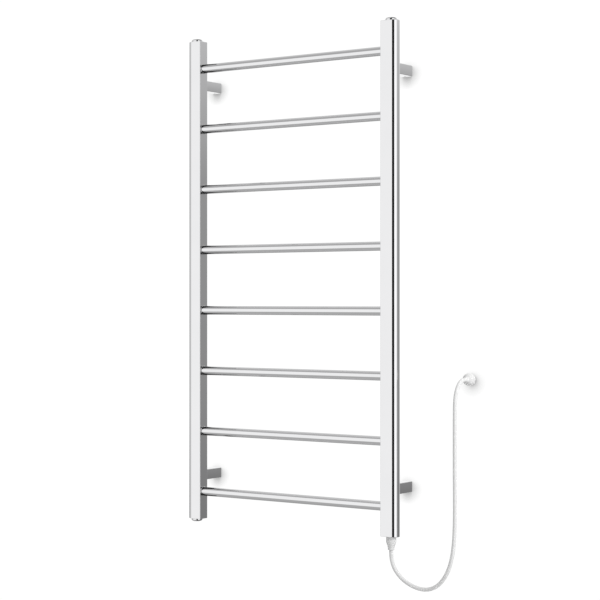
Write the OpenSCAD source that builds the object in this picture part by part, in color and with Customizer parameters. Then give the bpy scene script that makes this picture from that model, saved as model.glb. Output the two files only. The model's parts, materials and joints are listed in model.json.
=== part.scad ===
// Wall-mounted electric towel warmer rack: two D-section posts, eight round rungs, four
// box-section arms that slide on wall bases, and a mains lead with a moulded plug.
// The wall is the plane Y = 0 and the rack stands in front of it, towards -Y. X runs along
// the wall and Z is up. The origin is the middle of the four wall screws, on the wall.

/* [Rack] */
// Width over the outer faces of the two posts
rack_w = 600; // [500:5:700]
// Height of the posts, without the caps on their ends
rack_h = 1165; // [1100:5:1300]
// Clear gap between the wall and the back of the posts
wall_gap = 60; // [58:1:80]

/* [Posts] */
// Width of the D section, along the wall
post_w = 41; // [40:0.5:46]
// Depth of the D section, and the diameter of its round outer side
post_d = 29; // [28:0.5:32]
// Wall thickness of the post tube
post_t = 1.5; // [1.2:0.1:2]
// Thickness of the plate that closes each end of a post
end_plate_t = 2.5; // [2:0.5:4]

/* [Rungs] */
// Outer diameter of a rung
rung_d = 21.5; // [18:0.5:24]
// Wall thickness of a rung
rung_t = 1.2; // [1:0.1:1.5]
// Distance from the end of the posts to the axis of the first and the last rung
rung_margin = 67; // [60:1:90]

/* [Caps] */
// Diameter of a post's round cap
cap_d = 27; // [24:0.5:28]
// Height of the cap above the post, crown included
cap_h = 7.5; // [6:0.5:10]
// Height of the cap's straight side, below its shallow crown
cap_rim_h = 4; // [2:0.5:5]
// Diameter of the stem that plugs into the post's end plate
cap_stem_d = 19.6; // [16:0.2:19.6]

/* [Wall arms] */
// Width of an arm, along the wall
arm_w = 28; // [26:0.5:30]
// Height of an arm
arm_h = 24.5; // [24:0.5:28]
// Wall thickness of an arm's tube
arm_t = 1.6; // [1.4:0.1:1.8]
// Thickness of the arm's floor, against the post
arm_floor_t = 4; // [3:0.5:5]
// Distance of the arms from the middle of the rack, along the wall
arm_x = 276; // [275:0.5:277]
// Distance of the arms from the middle of the rack, up and down
arm_z = 476; // [470:1:490]
// How far the rack can be drawn off the wall on its bases
slide_travel = 20; // [10:1:22]

/* [Wall bases] */
// Length of the base that an arm slides over
base_len = 36; // [34:1:40]
// Clearance on each side between a base and its arm
base_gap = 0.2; // [0.15:0.05:0.3]
// Diameter of the well for the wall screw's head
base_well_d = 12; // [11:0.5:13]
// Thickness of the base's floor, against the wall
base_floor_t = 5; // [4:0.5:6]
// Thread diameter of a wall screw
wall_screw_d = 5; // [4.5:0.5:5]
// Length of a wall screw beyond the wall's face
wall_screw_len = 40; // [30:1:60]

/* [Cord and plug] */
// Diameter of the mains lead
cord_d = 9; // [7:0.5:9]
// Diameter of the straight top of the cord boot
boot_d = 23; // [20:0.5:24]
// Diameter of the collar at the boot's lower end
boot_tip_d = 15; // [13:0.5:16]
// Length of the boot below the gland
boot_len = 25.5; // [20:0.5:32]
// Diameter of the plug's round body
plug_d = 27; // [25:0.5:30]
// Depth of the plug's round body
plug_depth = 18; // [16:0.5:22]

/* [Hidden] */

$fn = 64;
eps = 0.01;                                     // overshoot of a cut past a face
fit_gap = 0.05;                                 // radial gap of a close fit
rung_count = 8;
chrome = [0.80, 0.80, 0.81];
zinc = [0.62, 0.63, 0.65];
steel = [0.70, 0.71, 0.73];
brass = [0.80, 0.68, 0.36];
copper = [0.78, 0.48, 0.30];
white_plastic = [0.91, 0.91, 0.90];
grey_rubber = [0.45, 0.45, 0.45];

// Places worked out from the driving dimensions
post_r = post_d / 2;
post_y = -(wall_gap + post_r);                  // axis plane of the posts and rungs
post_in = rack_w / 2 - post_w;                  // inner face of a post
post_round = rack_w / 2 - post_r;               // centre of a post's round side
post_mid = rack_w / 2 - post_w / 2;             // middle of a post's section
flat_w = post_w - post_r;                       // flat part of a post's front and back
post_end = rack_h / 2;                          // end of the posts above and below the middle
plate_hole_r = 10;                              // hole in an end plate, for a cap or the gland
rung_pitch = (rack_h - 2 * rung_margin) / (rung_count - 1);
function rung_z(i) = post_end - rung_margin - (i - 1) * rung_pitch;

// Wall base, arm and their screws
arm_in_w = arm_w - 2 * arm_t;
arm_in_h = arm_h - 2 * arm_t;
base_w = arm_in_w - 2 * base_gap;
base_h = arm_in_h - 2 * base_gap;
arm_wall_gap = 1;                               // between the arm's mouth and the wall
arm_edge_r = 1;                                 // rounding of the arm's long edges
lock_y = -9;                                    // lock screws, from the wall
lock_r = 2.5;
lock_slot_depth = 3;                            // slot in the base that a lock screw bears in
lock_len = arm_h / 2 - (base_h / 2 - lock_slot_depth) - 0.22;
wall_screw_head_r = 4.8;
wall_screw_head_h = 3.4;
wall_screw_shank_r = wall_screw_d / 2 - 0.3;    // plain shank, inside the base
bolt_r = 3;                                     // arm bolt
bolt_head_r = 5.2;
bolt_head_h = 3.3;
nut_body_r = 4.45;                              // rivet nut in the post's back wall
nut_flange_r = 6;
nut_flange_t = 0.8;
nut_len = 9.5;

// Inside the right post
riser_x = post_mid + 11.5;                      // the cable's way up to the first rung
turn_x = post_mid - 6.5;                        // where the cable turns from rung to rung
cable_r = 1.8;
cable_bend_r = 10;
splice_z = -post_end + 38;                      // lower end of both splices
splice_len = 18;
splice_r = 2.6;
sleeve_t = 0.6;
cutoff_z = splice_z + 30;                       // lower end of the thermal cut-off
cutoff_len = 24;
cutoff_r = 2.3;
wire_r = 1.3;
wire_gap = 0.3;                                 // keeps a wire's slanted end off its neighbour
ground_x = post_mid - 3;
ground_z = -post_end + 34;
ground_r = 2;

// Gland, boot and plug
gland_h = 5;                                    // straight collar of the gland below the post
gland_stem_len = 10;                            // gland stem inside the post
gland_nut_af = 24;                              // across flats
gland_nut_t = 5;
seal_r = 7.5;
seal_h = 6;
boot_straight_h = 6;
boot_collar_h = 5;
boot_end_z = -post_end - gland_h - boot_len;
jacket_top_z = -post_end + 16;
plug_x = 445;                                   // middle of the outlet, from the middle of the rack
plug_z = -226;
plug_face_y = -6;                               // face of the outlet that the plug sits on
plug_wall = 1.5;                                // thickness of the plug body's face
plug_cavity_r = 10.2;                           // space for the core that holds the blades
plug_cavity_h = 6;
plug_neck_r = 5.75;
plug_neck_len = 8;
plug_tip_y = plug_face_y - plug_depth - plug_neck_len;
blade_gap = 12.7;                               // between the middles of the two blades
blade_len = 17;
blade_t = 1.5;
blade_h = 6.4;
blade_up = 4;                                   // blades above the plug's axis
pin_drop = 11.9;                                // ground pin below the blades
pin_r = 2.38;
pin_len = 19;
pin_root_r = 2;                                 // root of the pin, inside the plug's face

// Route of the mains lead: out of the boot, down round a loop and up to the plug
cord_y = post_y;
cord_gap = 0.08;                                // between the lead's end and the plug
cord_route = [
    [post_mid, cord_y, boot_end_z], [post_mid, cord_y, boot_end_z - 6], [post_mid, cord_y, -626],
    [282, cord_y, -641], [289, cord_y, -656], [300, cord_y, -669], [314, cord_y, -680],
    [332, cord_y, -688.5], [352, cord_y, -694], [372, cord_y, -694.5], [391, cord_y, -689],
    [407, cord_y, -677.5], [420, cord_y, -661], [430, cord_y, -642], [437, cord_y, -619],
    [441.5, cord_y, -592], [444, -75, -562], [445, -75, -525], [445, -75, -480], [445, -76, -435],
    [445, -76, -390], [445, -76, -350], [445, -76, -320], [445, -75.5, -298], [445, -75.5, -283],
    [445, -74, -268], [445, -70.5, -254], [445, -64, -242], [445, -55, -232.5], [445, -45, -227.5],
    [plug_x, plug_tip_y - 6, plug_z], [plug_x, plug_tip_y - cord_gap, plug_z]];
cord_steps = 2;                                 // rings for each stretch of the route
cord_sides = 12;

// ---- Sweeps along a path ----

function unit(v) = v / norm(v);

// Smooth curve along the points p, straight at both ends, with n steps for each stretch
function curve_at(a, b, c, d, t) = (a * pow(1 - t, 3) + b * (3 * t * t * t - 6 * t * t + 4)
    + c * (3 * t + 3 * t * t - 3 * t * t * t + 1) + d * t * t * t) / 6;
function smooth_path(p, n) = let (m = len(p) - 1, q = concat([2 * p[0] - p[1]], p, [2 * p[m] - p[m - 1]]))
    concat([for (i = [0 : m - 1], k = [0 : n - 1]) curve_at(q[i], q[i + 1], q[i + 2], q[i + 3], k / n)],
    [p[m]]);

// Straight stretches with a bend of radius r at each right-angled corner, n rings a bend
function bend(a, p, b, r, n) = let (u = unit(a - p), v = unit(b - p), c = p + r * (u + v))
    [for (k = [0 : n]) c - r * (v * cos(90 * k / n) + u * sin(90 * k / n))];
function bent_path(p, r, n) = concat([p[0]],
    [for (i = [1 : len(p) - 2]) each bend(p[i - 1], p[i], p[i + 1], r, n)], [p[len(p) - 1]]);

// Direction of the path at point i, and a sideways vector carried along without twist
function heading(p, i) = unit(p[min(i + 1, len(p) - 1)] - p[max(i - 1, 0)]);
function carry(p, i, s) = let (t = heading(p, i)) unit(s - t * (s * t));
function sideways(p, s, i = 0) = let (next = carry(p, i, s))
    i == len(p) - 1 ? [next] : concat([next], sideways(p, next, i + 1));

// Round tube of radius r along the path p; s is any direction across its first stretch
module tube_along(p, r, sides, s) {
    side = sideways(p, s);
    n = len(p);
    points = [for (i = [0 : n - 1]) let (t = heading(p, i), u = side[i], v = cross(t, u))
        for (k = [0 : sides - 1]) p[i] + r * (u * cos(360 * k / sides) + v * sin(360 * k / sides))];
    walls = [for (i = [0 : n - 2], k = [0 : sides - 1]) let (m = (k + 1) % sides)
        [i * sides + k, (i + 1) * sides + k, (i + 1) * sides + m, i * sides + m]];
    ends = [[for (k = [0 : sides - 1]) k], [for (k = [sides - 1 : -1 : 0]) (n - 1) * sides + k]];
    polyhedron(points, concat(walls, ends));
}

// ---- Wall bases and their screws ----

// Puts a shape that is made for the upper right arm at one of the four corners
module at_corner(side, up) { translate([side * arm_x, 0, up * arm_z]) children(); }

// Cylinder along Y from y0 to y1, towards the room when y1 is the lower value
module along_y(r, y0, y1) {
    translate([0, max(y0, y1), 0]) rotate([90, 0, 0]) cylinder(r = r, h = abs(y1 - y0));
}

module wall_base(side, up) {
    slot_w = 2 * lock_r + 0.6;
    slot_back = lock_y - slide_travel - 4;
    color(zinc) at_corner(side, up) difference() {
        translate([-base_w / 2, -base_len, -base_h / 2]) cube([base_w, base_len, base_h]);
        along_y(base_well_d / 2, -base_floor_t, -base_len - eps);
        along_y(wall_screw_d / 2 + 0.3, eps, -base_len);
        translate([-slot_w / 2, slot_back, -base_h / 2 - eps])
            cube([slot_w, -4 - slot_back, lock_slot_depth + eps]);
    }
}

module wall_screws() {
    color(steel) for (side = [-1, 1], up = [-1, 1]) at_corner(side, up) difference() {
        union() {
            along_y(wall_screw_d / 2, wall_screw_len, 0);
            along_y(wall_screw_shank_r, eps, -base_floor_t - eps);
            along_y(wall_screw_head_r, -base_floor_t, -base_floor_t - wall_screw_head_h);
        }
        along_y(1, -base_floor_t - 1.4, -base_floor_t - wall_screw_head_h - eps);
    }
}

// ---- Posts, end plates, caps and rungs ----

// D section, round towards +X, with its round side centred on the origin
module d_section(inset) {
    circle(r = post_r - inset);
    translate([inset - flat_w, inset - post_r]) square([flat_w - inset, post_d - 2 * inset]);
}

// Puts a shape made with its round side towards +X at the left or the right post
module at_post(side, z) {
    translate([side * post_round, post_y, z]) rotate([0, 0, side > 0 ? 0 : 180]) children();
}

module post(side) {
    tube_h = rack_h - 2 * end_plate_t;
    color(chrome) difference() {
        at_post(side, -tube_h / 2) linear_extrude(tube_h) difference() {
            d_section(0);
            d_section(post_t);
        }
        for (i = [1 : rung_count]) translate([side * post_in - post_t - eps, post_y, rung_z(i)])
            rotate([0, 90, 0]) cylinder(r = rung_d / 2 + fit_gap, h = 2 * post_t + 2 * eps);
        for (up = [-1, 1]) at_corner(side, up)
            along_y(nut_body_r + fit_gap, -wall_gap + eps, -wall_gap - post_t - eps);
        if (side > 0) translate([ground_x, 0, ground_z])
            along_y(ground_r + fit_gap, -wall_gap + eps, -wall_gap - post_t - eps);
    }
}

module end_plate(side, up) {
    color(chrome) difference() {
        at_post(side, up > 0 ? post_end - end_plate_t : -post_end) linear_extrude(end_plate_t) d_section(0);
        translate([side * post_mid, post_y, up * post_end])
            cylinder(r = plate_hole_r, h = 3 * end_plate_t, center = true);
    }
}

module post_cap(side, up) {
    dome_h = cap_h - cap_rim_h;
    dome_r = (pow(cap_d / 2, 2) + pow(dome_h, 2)) / (2 * dome_h);
    color(chrome) translate([side * post_mid, post_y, up * post_end]) mirror([0, 0, up > 0 ? 0 : 1]) {
        translate([0, 0, -end_plate_t - 6]) cylinder(d = cap_stem_d, h = end_plate_t + 6 + eps);
        cylinder(d = cap_d, h = cap_rim_h);
        intersection() {
            translate([0, 0, cap_h - dome_r]) sphere(r = dome_r);
            translate([0, 0, cap_rim_h - eps]) cylinder(d = cap_d, h = cap_h);
        }
    }
}

module rung(i) {
    rung_len = 2 * (post_in + post_t);
    color(chrome) translate([-rung_len / 2, post_y, rung_z(i)]) rotate([0, 90, 0]) difference() {
        cylinder(d = rung_d, h = rung_len);
        translate([0, 0, -eps]) cylinder(d = rung_d - 2 * rung_t, h = rung_len + 2 * eps);
    }
}

// ---- Arms ----

// Rectangle with rounded corners, made of squares and circles
module rounded_rect(w, h, r) {
    square([w - 2 * r, h], center = true);
    square([w, h - 2 * r], center = true);
    for (x = [-1, 1], y = [-1, 1]) translate([x * (w / 2 - r), y * (h / 2 - r)]) circle(r = r);
}

module arm(side, up) {
    saddle = 2;                                 // extra length, cut back to the post's shape
    floor_y = -wall_gap + arm_floor_t;
    color(chrome) difference() {
        at_corner(side, up) difference() {
            translate([0, -arm_wall_gap, 0]) rotate([90, 0, 0])
                linear_extrude(wall_gap + saddle - arm_wall_gap) rounded_rect(arm_w, arm_h, arm_edge_r);
            translate([-arm_in_w / 2, floor_y, -arm_in_h / 2]) cube([arm_in_w, -floor_y, arm_in_h]);
            along_y(bolt_r + 0.3, floor_y + eps, -wall_gap - saddle - eps);
            along_y(nut_flange_r + 0.2, -wall_gap + nut_flange_t + 0.1, -wall_gap - saddle - eps);
            translate([0, lock_y, -arm_h / 2 - eps])
                cylinder(r = lock_r + fit_gap, h = arm_t + 2 * eps);
        }
        at_post(side, up * arm_z - arm_h) linear_extrude(2 * arm_h) d_section(0);
    }
}

module arm_bolts() {
    seat_y = -wall_gap + arm_floor_t;
    color(steel) for (side = [-1, 1], up = [-1, 1]) at_corner(side, up) difference() {
        union() {
            along_y(bolt_r, seat_y + eps, -wall_gap - nut_len);
            along_y(bolt_head_r, seat_y + bolt_head_h, seat_y);
        }
        translate([0, seat_y + bolt_head_h + eps, 0]) rotate([90, 0, 0]) cylinder(r = 2.3, h = 2, $fn = 6);
    }
}

module rivet_nuts() {
    bulge_r = 5.6;                              // collar that the setting tool squeezes out
    bulge_h = 2.5;
    color(steel) for (side = [-1, 1], up = [-1, 1]) at_corner(side, up) difference() {
        union() {
            along_y(nut_body_r, -wall_gap + eps, -wall_gap - nut_len);
            along_y(nut_flange_r, -wall_gap + nut_flange_t, -wall_gap);
            along_y(bulge_r, -wall_gap - post_t, -wall_gap - post_t - bulge_h);
        }
        along_y(bolt_r + fit_gap, -wall_gap + nut_flange_t + eps, -wall_gap - nut_len - eps);
    }
}

// Grub screw in the arm's underside, with its hexagon socket facing down
module lock_screw(side, up) {
    socket_r = 1.45;
    color(steel) at_corner(side, up) translate([0, lock_y, -arm_h / 2 + 0.2]) difference() {
        cylinder(r = lock_r, h = lock_len);
        translate([0, 0, -eps]) cylinder(r = socket_r, h = 2, $fn = 6);
    }
}

// ---- Heating cable and wiring inside the frame ----

// The cable climbs the right post, then crosses every rung in turn on its way down
function cable_corners() = concat(
    [[riser_x, post_y, cutoff_z + cutoff_len]], [[riser_x, post_y, rung_z(1)]],
    [for (i = [1 : rung_count - 1]) let (x = i % 2 == 1 ? -turn_x : turn_x)
        each [[x, post_y, rung_z(i)], [x, post_y, rung_z(i + 1)]]],
    [[turn_x, post_y, rung_z(rung_count)], [turn_x, post_y, splice_z + splice_len]]);

module heating_cable() {
    color(grey_rubber) tube_along(bent_path(cable_corners(), cable_bend_r, 3), cable_r, 8, [0, 1, 0]);
}

module on_riser(x, z) { translate([x, post_y, z]) children(); }

module thermal_cutoff() {
    color(steel) on_riser(riser_x, cutoff_z) cylinder(r = cutoff_r, h = cutoff_len);
}

module cutoff_sleeve() {
    color(white_plastic) on_riser(riser_x, cutoff_z) difference() {
        cylinder(r = cutoff_r + fit_gap + sleeve_t, h = cutoff_len);
        translate([0, 0, -eps]) cylinder(r = cutoff_r + fit_gap, h = cutoff_len + 2 * eps);
    }
}

module wire_splices() {
    color(copper) for (x = [riser_x, turn_x]) on_riser(x, splice_z) cylinder(r = splice_r, h = splice_len);
}

module splice_sleeves() {
    color(grey_rubber) for (x = [riser_x, turn_x]) on_riser(x, splice_z) difference() {
        cylinder(r = splice_r + fit_gap + sleeve_t, h = splice_len);
        translate([0, 0, -eps]) cylinder(r = splice_r + fit_gap, h = splice_len + 2 * eps);
    }
}

module wire(colour, route) { color(colour) tube_along(smooth_path(route, 3), wire_r, 8, [0, 1, 0]); }

module live_wire() {
    wire("black", [[post_mid + 2.6, post_y + 1.6, jacket_top_z + wire_gap],
        [post_mid + 5, post_y + 1, jacket_top_z + 9], [riser_x - 1, post_y, splice_z - 7],
        [riser_x, post_y, splice_z - wire_gap]]);
    color("black") on_riser(riser_x, splice_z + splice_len)
        cylinder(r = wire_r, h = cutoff_z - splice_z - splice_len);
}

module neutral_wire() {
    wire("white", [[post_mid - 2.6, post_y + 1.6, jacket_top_z + wire_gap],
        [post_mid - 3, post_y + 1, jacket_top_z + 7], [turn_x + 1, post_y, splice_z - 7],
        [turn_x, post_y, splice_z - wire_gap]]);
}

module ground_wire() {
    lug_y = -wall_gap - post_t - 1.9;           // axis of the lug's barrel
    wire("green", [[post_mid, post_y - 2.8, jacket_top_z + wire_gap],
        [post_mid + 1, post_y - 5, jacket_top_z + 10], [ground_x + 6, post_y - 5, ground_z + 10],
        [ground_x + 6, post_y - 2, ground_z + 22], [ground_x + 4, lug_y - 5, ground_z + 27],
        [ground_x + 1, lug_y, ground_z + 22], [ground_x, lug_y, ground_z + 14 + wire_gap]]);
}

module ground_lug() {
    ring_t = 0.8;
    barrel_r = 1.75;
    color(copper) translate([ground_x, -wall_gap - post_t, ground_z]) {
        difference() {
            union() {
                along_y(4.2, 0, -ring_t);
                translate([-1.75, -ring_t, 0]) cube([3.5, ring_t, 8]);
            }
            along_y(ground_r + fit_gap, eps, -ring_t - eps);
        }
        translate([0, -barrel_r - 0.15, 7]) cylinder(r = barrel_r, h = 7);
    }
}

module ground_screw() {
    color(steel) translate([ground_x, 0, ground_z]) difference() {
        union() {
            along_y(ground_r, -wall_gap + eps, -wall_gap - 7);
            along_y(4, -wall_gap + 2.4, -wall_gap);
        }
        along_y(1, -wall_gap + 2.4 + eps, -wall_gap + 0.8);
    }
}

module ground_nut() {
    seat_y = -wall_gap - post_t - 0.8;
    color(steel) translate([ground_x, 0, ground_z]) difference() {
        translate([0, seat_y, 0]) rotate([90, 0, 0]) cylinder(r = 4.04, h = 3, $fn = 6);
        along_y(ground_r + fit_gap, seat_y + eps, seat_y - 3 - eps);
    }
}

// ---- Gland, boot and mains lead ----

module at_gland(z) { translate([post_mid, post_y, z]) children(); }

module gland_body() {
    color(white_plastic) at_gland(-post_end) difference() {
        union() {
            translate([0, 0, -gland_h]) cylinder(d = boot_d, h = gland_h);
            translate([0, 0, -eps]) cylinder(d = cap_stem_d, h = end_plate_t + gland_stem_len);
        }
        translate([0, 0, -gland_h - eps]) cylinder(r = cord_d / 2 + fit_gap, h = 40);
        translate([0, 0, end_plate_t + gland_stem_len - seal_h]) cylinder(r = seal_r, h = 10);
    }
}

module gland_nut() {
    color(white_plastic) at_gland(-post_end + end_plate_t) difference() {
        cylinder(r = gland_nut_af / sqrt(3), h = gland_nut_t, $fn = 6);
        translate([0, 0, -eps]) cylinder(d = cap_stem_d + 2 * fit_gap, h = gland_nut_t + 2 * eps);
    }
}

module gland_seal() {
    color(grey_rubber) at_gland(-post_end + end_plate_t + gland_stem_len - seal_h) difference() {
        cylinder(r = seal_r - fit_gap, h = seal_h);
        translate([0, 0, -eps]) cylinder(r = cord_d / 2 + fit_gap, h = seal_h + 2 * eps);
    }
}

module cord_boot() {
    neck_z = boot_collar_h + 1;
    color(white_plastic) at_gland(boot_end_z) difference() {
        rotate_extrude() polygon([[0, 0], [boot_tip_d / 2, 0], [boot_tip_d / 2, boot_collar_h],
            [boot_tip_d / 2 + 0.2, neck_z], [boot_d / 2, boot_len - boot_straight_h],
            [boot_d / 2, boot_len], [0, boot_len]]);
        translate([0, 0, -eps]) cylinder(r = cord_d / 2 + fit_gap, h = boot_len + 2 * eps);
    }
}

module cord_jacket_end() {
    color(white_plastic) at_gland(boot_end_z) cylinder(d = cord_d, h = jacket_top_z - boot_end_z);
}

module mains_cord() {
    color(white_plastic) tube_along(smooth_path(cord_route, cord_steps), cord_d / 2, cord_sides, [0, 1, 0]);
}

// ---- Plug ----

module at_plug(y) { translate([plug_x, y, plug_z]) children(); }

module plug_body() {
    shoulder = 9;                               // rounding of the dome
    color(white_plastic) at_plug(plug_face_y) rotate([90, 0, 0]) difference() {
        rotate_extrude() {
            square([plug_d / 2 - shoulder, plug_depth]);
            square([plug_d / 2, plug_depth - shoulder]);
            translate([plug_d / 2 - shoulder, plug_depth - shoulder]) intersection() {
                circle(r = shoulder);
                square(shoulder);
            }
            polygon([[0, plug_depth - eps], [plug_neck_r, plug_depth - eps],
                [cord_d / 2 + 0.6, plug_depth + plug_neck_len], [0, plug_depth + plug_neck_len]]);
        }
        translate([0, 0, plug_wall]) cylinder(r = plug_cavity_r, h = plug_cavity_h);
        for (side = [-1, 1]) translate([side * blade_gap / 2, blade_up, 0])
            cube([blade_t + 2 * fit_gap, blade_h + 2 * fit_gap, 5], center = true);
        translate([0, blade_up - pin_drop, -eps]) cylinder(r = pin_root_r + fit_gap, h = 2);
    }
}

module plug_core() {
    color(white_plastic) at_plug(plug_face_y - plug_wall - fit_gap) rotate([90, 0, 0])
        cylinder(r = plug_cavity_r - fit_gap, h = plug_cavity_h - 2 * fit_gap);
}

module plug_blades() {
    color(brass) for (side = [-1, 1])
        at_plug(plug_face_y - plug_wall)
            translate([side * blade_gap / 2 - blade_t / 2, 0, blade_up - blade_h / 2]) difference() {
                cube([blade_t, blade_len + plug_wall, blade_h]);
                translate([-eps, blade_len + plug_wall - 4, blade_h / 2]) rotate([0, 90, 0])
                    cylinder(r = 1.2, h = blade_t + 2 * eps);
            }
}

module ground_pin() {
    color(brass) at_plug(plug_face_y) translate([0, 0, blade_up - pin_drop]) rotate([-90, 0, 0]) {
        translate([0, 0, -plug_wall]) cylinder(r = pin_root_r, h = plug_wall + eps);
        cylinder(r = pin_r, h = pin_len - pin_r);
        translate([0, 0, pin_len - pin_r]) sphere(r = pin_r);
    }
}

wall_base(-1, 1);  // wall_base_upper_left
wall_base(1, 1);  // wall_base_upper_right
wall_base(-1, -1);  // wall_base_lower_left
wall_base(1, -1);  // wall_base_lower_right
wall_screws();
post(-1);  // left_post
post(1);  // right_post
rung(1);  // rung_1
rung(2);  // rung_2
rung(3);  // rung_3
rung(4);  // rung_4
rung(5);  // rung_5
rung(6);  // rung_6
rung(7);  // rung_7
rung(8);  // rung_8
end_plate(-1, 1);  // top_plate_left
end_plate(1, 1);  // top_plate_right
end_plate(-1, -1);  // bottom_plate_left
end_plate(1, -1);  // bottom_plate_right
post_cap(-1, 1);  // top_cap_left
post_cap(1, 1);  // top_cap_right
post_cap(-1, -1);  // bottom_cap_left
arm(-1, 1);  // arm_upper_left
arm(1, 1);  // arm_upper_right
arm(-1, -1);  // arm_lower_left
arm(1, -1);  // arm_lower_right
arm_bolts();
rivet_nuts();
lock_screw(-1, 1);  // lock_screw_upper_left
lock_screw(1, 1);  // lock_screw_upper_right
lock_screw(-1, -1);  // lock_screw_lower_left
lock_screw(1, -1);  // lock_screw_lower_right
heating_cable();
thermal_cutoff();
cutoff_sleeve();
wire_splices();
splice_sleeves();
live_wire();
neutral_wire();
ground_wire();
ground_lug();
ground_screw();
ground_nut();
gland_body();
gland_nut();
gland_seal();
cord_boot();
cord_jacket_end();
mains_cord();
plug_body();
plug_core();
plug_blades();
ground_pin();
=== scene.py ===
"""Wall-mounted electric towel warmer rack: its visible pieces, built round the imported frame.

Laid out as a Blender add-on and run as a script. Each operator makes one piece or one group
of like pieces, in the frame's own space: metres, the wall at Y = 0, the room towards -Y, Z up.
"""

import json
import math

import bmesh
import bpy
from bpy.props import FloatProperty, FloatVectorProperty, PointerProperty
from mathutils import Matrix, Vector


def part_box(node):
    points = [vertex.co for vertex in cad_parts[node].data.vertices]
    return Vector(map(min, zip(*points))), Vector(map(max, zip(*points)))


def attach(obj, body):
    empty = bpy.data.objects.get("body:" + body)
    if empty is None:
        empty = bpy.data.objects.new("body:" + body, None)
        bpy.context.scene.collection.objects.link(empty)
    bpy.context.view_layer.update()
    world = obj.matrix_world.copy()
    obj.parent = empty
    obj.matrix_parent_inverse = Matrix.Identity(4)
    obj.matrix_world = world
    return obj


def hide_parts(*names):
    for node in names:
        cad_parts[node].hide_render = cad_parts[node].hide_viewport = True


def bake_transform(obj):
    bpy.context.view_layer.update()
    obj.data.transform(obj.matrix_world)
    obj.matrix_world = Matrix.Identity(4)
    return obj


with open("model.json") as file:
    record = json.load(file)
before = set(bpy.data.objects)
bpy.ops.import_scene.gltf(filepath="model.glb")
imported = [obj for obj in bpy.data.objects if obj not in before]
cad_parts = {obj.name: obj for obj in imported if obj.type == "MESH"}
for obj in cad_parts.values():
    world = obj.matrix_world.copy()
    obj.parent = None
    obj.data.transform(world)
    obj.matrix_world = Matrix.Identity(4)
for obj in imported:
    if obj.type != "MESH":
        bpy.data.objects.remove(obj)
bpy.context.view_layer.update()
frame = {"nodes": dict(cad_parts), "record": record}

bl_info = {
    "name": "Towel Warmer Rack",
    "version": (1, 0, 0),
    "blender": (4, 5, 0),
    "location": "3D View > Sidebar > Towel Rack",
    "description": "Builds a wall-mounted towel warmer rack with its lead and a studio",
    "category": "Add Mesh",
}

# ---- Places taken from the frame ----

MM = 0.001
CORNERS = ("upper_left", "upper_right", "lower_left", "lower_right")
RUNGS = [f"rung_{i}" for i in range(1, 9)]


def middle(node):
    """Middle of a node's box."""
    low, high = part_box(node)
    return (low + high) / 2


def extent(node):
    """Size of a node's box along X, Y and Z."""
    low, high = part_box(node)
    return high - low


post_low, post_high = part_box("right_post")
POST_END_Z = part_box("top_plate_right")[1].z
POST_BACK_Y = post_high.y
POST_RADIUS = extent("right_post").y / 2
POST_MIDDLE_X, AXIS_Y, _ = middle("right_post")
JACKET_RADIUS = extent("cord_jacket_end").x / 2


# ---- Settings that a user would change ----


class TowelRackShapes(bpy.types.PropertyGroup):
    """Sizes that only the visible pieces have; the rest comes from the frame."""

    post_corner: FloatProperty(
        name="Post corners",
        description="Rounding of the long inner corners of the posts",
        default=1.2 * MM,
        subtype="DISTANCE",
        unit="LENGTH",
    )
    post_edge: FloatProperty(
        name="Post ends",
        description="Rounding round both ends of a post",
        default=0.6 * MM,
        subtype="DISTANCE",
        unit="LENGTH",
    )
    weld_bead: FloatProperty(
        name="Weld beads",
        description="Size of the polished bead where a rung meets a post",
        default=1.0 * MM,
        subtype="DISTANCE",
        unit="LENGTH",
    )
    arm_edge: FloatProperty(
        name="Arm edges",
        description="Rounding of the long edges of the wall arms",
        default=1.0 * MM,
        subtype="DISTANCE",
        unit="LENGTH",
    )
    arm_crown: FloatProperty(
        name="Arm crown",
        description="How far the middle of an arm's side stands proud of its edges",
        default=0.12 * MM,
        subtype="DISTANCE",
        unit="LENGTH",
    )
    base_edge: FloatProperty(
        name="Base edges",
        description="Rounding of the edges of the cast wall bases",
        default=0.4 * MM,
        subtype="DISTANCE",
        unit="LENGTH",
    )


class TowelRackFinishes(bpy.types.PropertyGroup):
    """Colours and polish of the rack's materials."""

    chrome: FloatVectorProperty(
        name="Chrome",
        description="Colour of the chrome plate",
        default=(0.87, 0.87, 0.88),
        subtype="COLOR",
    )
    polish: FloatProperty(
        name="Chrome roughness",
        description="Roughness of the chrome at its brightest polish",
        default=0.012,
        min=0.0,
        max=0.5,
    )
    white_plastic: FloatVectorProperty(
        name="White plastic",
        description="Colour of the gland, the boot and the plug",
        default=(0.83, 0.83, 0.83),
        subtype="COLOR",
    )
    cord_jacket: FloatVectorProperty(
        name="Lead jacket",
        description="Colour of the lead's vinyl jacket",
        default=(0.85, 0.85, 0.85),
        subtype="COLOR",
    )


class TowelRackStudio(bpy.types.PropertyGroup):
    """The camera and the light round the rack."""

    camera_place: FloatVectorProperty(
        name="Camera",
        description="Place of the camera",
        default=(2.283, -3.295, -0.0486),
        subtype="TRANSLATION",
        unit="LENGTH",
    )
    camera_turn: FloatProperty(
        name="Camera turn",
        description="Turn of the camera to the left from facing the wall",
        default=math.radians(35),
        subtype="ANGLE",
        unit="ROTATION",
    )
    lens: FloatProperty(
        name="Lens",
        description="Focal length of the camera",
        default=100.62,
        unit="CAMERA",
    )
    side_power: FloatProperty(
        name="Side softbox",
        description="Power of the softbox to the right of the rack",
        default=55.0,
        unit="POWER",
    )
    top_power: FloatProperty(
        name="Top softbox",
        description="Power of the softbox above the rack",
        default=12.0,
        unit="POWER",
    )
    soft_light: FloatProperty(
        name="Soft light",
        description="Brightness of the soft light from the left, about half that from the right",
        default=0.33,
    )


# ---- Outlines and skins ----


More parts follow.
